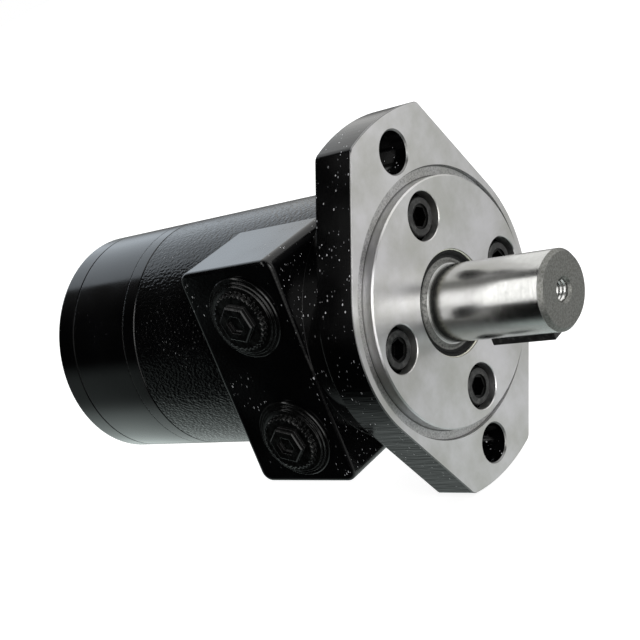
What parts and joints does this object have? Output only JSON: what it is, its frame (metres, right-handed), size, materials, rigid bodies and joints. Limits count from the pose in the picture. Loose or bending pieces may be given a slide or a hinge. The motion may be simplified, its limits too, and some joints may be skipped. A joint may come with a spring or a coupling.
{
  "type": "hydraulic motor",
  "caption": "Orbital hydraulic motor with a two-bolt pilot flange, a keyed straight shaft and two side ports on one pad.",
  "frame": {"origin": "centre of the pilot on the mounting face, on the shaft axis", "axes": "+X along the shaft, out of the flange; +Z through one mounting ear; the ports face -Y"},
  "size_m": [0.1964, 0.0944, 0.13],
  "materials": {
    "machined_iron": "satin",
    "ground_steel": "polished",
    "bearing_steel": "polished",
    "brass_cage": "satin",
    "black_screw": "satin",
    "black_key": "satin",
    "painted_casting": "gloss",
    "painted_steel": "gloss",
    "black_rubber": "matte"
  },
  "bodies": {
    "motor_body": {"mounting_flange": "machined_iron", "flange_screws": "black_screw", "dust_seal": "black_rubber", "seal_backup_washer": "bearing_steel", "shaft_seal": "black_rubber", "flange_seal_ring": "black_rubber", "thrust_race_front": "bearing_steel", "housing": "painted_casting", "check_seats": "bearing_steel", "spacer_plate": "painted_steel", "gerotor_ring": "painted_steel", "end_cap": "painted_steel", "end_cap_screws": "black_screw", "housing_o_ring": "black_rubber", "plate_o_ring": "black_rubber", "cap_o_ring": "black_rubber"},
    "shaft": {"output_shaft": "ground_steel", "shaft_key": "black_key", "thrust_race_rear": "bearing_steel"},
    "thrust_bearing": {"thrust_cage": "brass_cage", "thrust_needles": "bearing_steel"},
    "orbit_carrier": {"drive_spacer": "bearing_steel"},
    "star": {"gerotor_star": "ground_steel"},
    "drive": {"cardan_drive": "ground_steel"},
    "ball_a": {"check_ball_a": "bearing_steel"},
    "ball_b": {"check_ball_b": "bearing_steel"}
  },
  "joints": [
    {"name": "shaft_spin", "type": "hinge", "parent": "motor_body", "child": "shaft", "pos_m": [0, 0, 0], "axis": [1, 0, 0], "continuous": true},
    {"name": "bearing_spin", "type": "hinge", "parent": "motor_body", "child": "thrust_bearing", "pos_m": [-0.01785, 0, 0], "axis": [1, 0, 0], "continuous": true},
    {"name": "star_orbit", "type": "hinge", "parent": "motor_body", "child": "orbit_carrier", "pos_m": [-0.129, 0, 0], "axis": [1, 0, 0], "continuous": true},
    {"name": "star_spin", "type": "hinge", "parent": "orbit_carrier", "child": "star", "pos_m": [-0.129, -0.003, 0], "axis": [1, 0, 0], "continuous": true},
    {"name": "drive_spin", "type": "hinge", "parent": "orbit_carrier", "child": "drive", "pos_m": [-0.059, 0, 0], "axis": [0.999, 0.0447, 0], "continuous": true},
    {"name": "ball_a_slide", "type": "slide", "parent": "motor_body", "child": "ball_a", "axis": [1, 0, 0], "range_m": [0, 0.001]},
    {"name": "ball_b_slide", "type": "slide", "parent": "motor_body", "child": "ball_b", "axis": [1, 0, 0], "range_m": [0, 0.001]}
  ],
  "couplings": [
    {"joint": "bearing_spin", "follows": "shaft_spin", "ratio": 0.5},
    {"joint": "star_orbit", "follows": "shaft_spin", "ratio": -6},
    {"joint": "star_spin", "follows": "shaft_spin", "ratio": 7},
    {"joint": "drive_spin", "follows": "shaft_spin", "ratio": 7}
  ]
}
